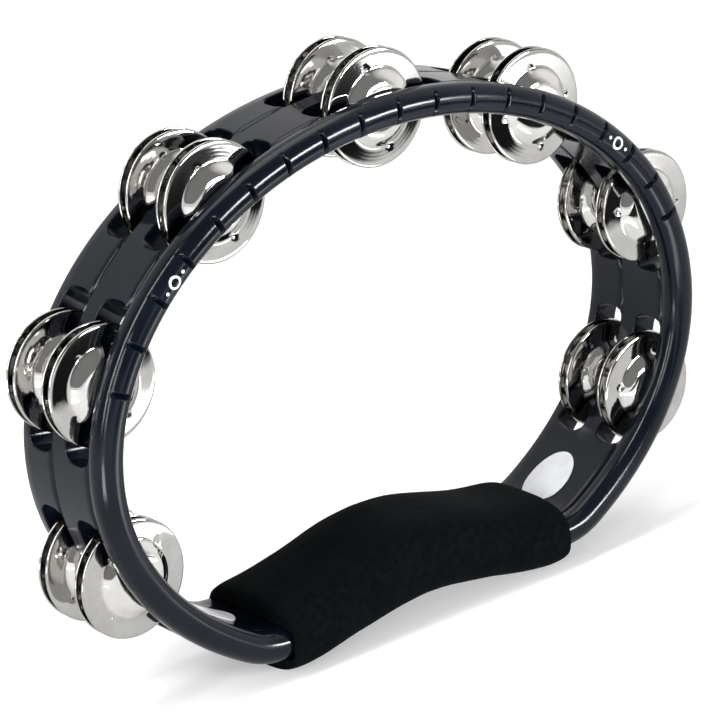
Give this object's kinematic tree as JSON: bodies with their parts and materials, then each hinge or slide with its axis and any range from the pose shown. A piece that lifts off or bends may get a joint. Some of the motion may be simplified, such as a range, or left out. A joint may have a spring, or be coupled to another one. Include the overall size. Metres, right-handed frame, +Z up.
{
  "type": "hand tambourine",
  "caption": "Headless hand tambourine with an oval slotted plastic hoop, a foam sleeve on its bowed handle and two rows of dished steel jingles that slide on pins",
  "frame": {"origin": "middle of the footprint, at the floor under the grip's two lobes", "axes": "+Z up, hoop axis along Y with the beaded face towards -Y, X across the hoop's width"},
  "size_m": [0.2656, 0.0468, 0.1943],
  "materials": {
    "black_plastic": "satin moulded",
    "black_foam": "matt closed-cell foam",
    "plated_steel": "bright nickel plate",
    "pin_steel": "drawn wire",
    "white_film": "satin film"
  },
  "bodies": {
    "frame": {"hoop_frame": "black_plastic", "foam_grip": "black_foam", "pin_1": "pin_steel", "pin_2": "pin_steel", "pin_3": "pin_steel", "pin_4": "pin_steel", "pin_5": "pin_steel", "pin_6": "pin_steel", "pin_7": "pin_steel", "label_left": "white_film", "label_right": "white_film"},
    "jingle_1_front_a": {"jingle_1_front_a": "plated_steel"},
    "jingle_1_front_b": {"jingle_1_front_b": "plated_steel"},
    "jingle_1_rear_a": {"jingle_1_rear_a": "plated_steel"},
    "jingle_1_rear_b": {"jingle_1_rear_b": "plated_steel"},
    "jingle_2_front_a": {"jingle_2_front_a": "plated_steel"},
    "jingle_2_front_b": {"jingle_2_front_b": "plated_steel"},
    "jingle_2_rear_a": {"jingle_2_rear_a": "plated_steel"},
    "jingle_2_rear_b": {"jingle_2_rear_b": "plated_steel"},
    "jingle_3_front_a": {"jingle_3_front_a": "plated_steel"},
    "jingle_3_front_b": {"jingle_3_front_b": "plated_steel"},
    "jingle_3_rear_a": {"jingle_3_rear_a": "plated_steel"},
    "jingle_3_rear_b": {"jingle_3_rear_b": "plated_steel"},
    "jingle_4_front_a": {"jingle_4_front_a": "plated_steel"},
    "jingle_4_front_b": {"jingle_4_front_b": "plated_steel"},
    "jingle_4_rear_a": {"jingle_4_rear_a": "plated_steel"},
    "jingle_4_rear_b": {"jingle_4_rear_b": "plated_steel"},
    "jingle_5_front_a": {"jingle_5_front_a": "plated_steel"},
    "jingle_5_front_b": {"jingle_5_front_b": "plated_steel"},
    "jingle_5_rear_a": {"jingle_5_rear_a": "plated_steel"},
    "jingle_5_rear_b": {"jingle_5_rear_b": "plated_steel"},
    "jingle_6_front_a": {"jingle_6_front_a": "plated_steel"},
    "jingle_6_front_b": {"jingle_6_front_b": "plated_steel"},
    "jingle_6_rear_a": {"jingle_6_rear_a": "plated_steel"},
    "jingle_6_rear_b": {"jingle_6_rear_b": "plated_steel"},
    "jingle_7_front_a": {"jingle_7_front_a": "plated_steel"},
    "jingle_7_front_b": {"jingle_7_front_b": "plated_steel"},
    "jingle_7_rear_a": {"jingle_7_rear_a": "plated_steel"},
    "jingle_7_rear_b": {"jingle_7_rear_b": "plated_steel"}
  },
  "joints": [
    {"name": "jingle_1_front_a_slide", "type": "slide", "parent": "frame", "child": "jingle_1_front_a", "axis": [0, 1, 0], "range_m": [-0.0002, 0.0013]},
    {"name": "jingle_1_front_b_slide", "type": "slide", "parent": "frame", "child": "jingle_1_front_b", "axis": [0, 1, 0], "range_m": [-0.0013, 0.0002]},
    {"name": "jingle_1_rear_a_slide", "type": "slide", "parent": "frame", "child": "jingle_1_rear_a", "axis": [0, 1, 0], "range_m": [-0.0002, 0.0013]},
    {"name": "jingle_1_rear_b_slide", "type": "slide", "parent": "frame", "child": "jingle_1_rear_b", "axis": [0, 1, 0], "range_m": [-0.0013, 0.0002]},
    {"name": "jingle_2_front_a_slide", "type": "slide", "parent": "frame", "child": "jingle_2_front_a", "axis": [0, 1, 0], "range_m": [-0.0002, 0.0013]},
    {"name": "jingle_2_front_b_slide", "type": "slide", "parent": "frame", "child": "jingle_2_front_b", "axis": [0, 1, 0], "range_m": [-0.0013, 0.0002]},
    {"name": "jingle_2_rear_a_slide", "type": "slide", "parent": "frame", "child": "jingle_2_rear_a", "axis": [0, 1, 0], "range_m": [-0.0002, 0.0013]},
    {"name": "jingle_2_rear_b_slide", "type": "slide", "parent": "frame", "child": "jingle_2_rear_b", "axis": [0, 1, 0], "range_m": [-0.0013, 0.0002]},
    {"name": "jingle_3_front_a_slide", "type": "slide", "parent": "frame", "child": "jingle_3_front_a", "axis": [0, 1, 0], "range_m": [-0.0002, 0.0013]},
    {"name": "jingle_3_front_b_slide", "type": "slide", "parent": "frame", "child": "jingle_3_front_b", "axis": [0, 1, 0], "range_m": [-0.0013, 0.0002]},
    {"name": "jingle_3_rear_a_slide", "type": "slide", "parent": "frame", "child": "jingle_3_rear_a", "axis": [0, 1, 0], "range_m": [-0.0002, 0.0013]},
    {"name": "jingle_3_rear_b_slide", "type": "slide", "parent": "frame", "child": "jingle_3_rear_b", "axis": [0, 1, 0], "range_m": [-0.0013, 0.0002]},
    {"name": "jingle_4_front_a_slide", "type": "slide", "parent": "frame", "child": "jingle_4_front_a", "axis": [0, 1, 0], "range_m": [-0.0002, 0.0013]},
    {"name": "jingle_4_front_b_slide", "type": "slide", "parent": "frame", "child": "jingle_4_front_b", "axis": [0, 1, 0], "range_m": [-0.0013, 0.0002]},
    {"name": "jingle_4_rear_a_slide", "type": "slide", "parent": "frame", "child": "jingle_4_rear_a", "axis": [0, 1, 0], "range_m": [-0.0002, 0.0013]},
    {"name": "jingle_4_rear_b_slide", "type": "slide", "parent": "frame", "child": "jingle_4_rear_b", "axis": [0, 1, 0], "range_m": [-0.0013, 0.0002]},
    {"name": "jingle_5_front_a_slide", "type": "slide", "parent": "frame", "child": "jingle_5_front_a", "axis": [0, 1, 0], "range_m": [-0.0002, 0.0013]},
    {"name": "jingle_5_front_b_slide", "type": "slide", "parent": "frame", "child": "jingle_5_front_b", "axis": [0, 1, 0], "range_m": [-0.0013, 0.0002]},
    {"name": "jingle_5_rear_a_slide", "type": "slide", "parent": "frame", "child": "jingle_5_rear_a", "axis": [0, 1, 0], "range_m": [-0.0002, 0.0013]},
    {"name": "jingle_5_rear_b_slide", "type": "slide", "parent": "frame", "child": "jingle_5_rear_b", "axis": [0, 1, 0], "range_m": [-0.0013, 0.0002]},
    {"name": "jingle_6_front_a_slide", "type": "slide", "parent": "frame", "child": "jingle_6_front_a", "axis": [0, 1, 0], "range_m": [-0.0002, 0.0013]},
    {"name": "jingle_6_front_b_slide", "type": "slide", "parent": "frame", "child": "jingle_6_front_b", "axis": [0, 1, 0], "range_m": [-0.0013, 0.0002]},
    {"name": "jingle_6_rear_a_slide", "type": "slide", "parent": "frame", "child": "jingle_6_rear_a", "axis": [0, 1, 0], "range_m": [-0.0002, 0.0013]},
    {"name": "jingle_6_rear_b_slide", "type": "slide", "parent": "frame", "child": "jingle_6_rear_b", "axis": [0, 1, 0], "range_m": [-0.0013, 0.0002]},
    {"name": "jingle_7_front_a_slide", "type": "slide", "parent": "frame", "child": "jingle_7_front_a", "axis": [0, 1, 0], "range_m": [-0.0002, 0.0013]},
    {"name": "jingle_7_front_b_slide", "type": "slide", "parent": "frame", "child": "jingle_7_front_b", "axis": [0, 1, 0], "range_m": [-0.0013, 0.0002]},
    {"name": "jingle_7_rear_a_slide", "type": "slide", "parent": "frame", "child": "jingle_7_rear_a", "axis": [0, 1, 0], "range_m": [-0.0002, 0.0013]},
    {"name": "jingle_7_rear_b_slide", "type": "slide", "parent": "frame", "child": "jingle_7_rear_b", "axis": [0, 1, 0], "range_m": [-0.0013, 0.0002]}
  ]
}
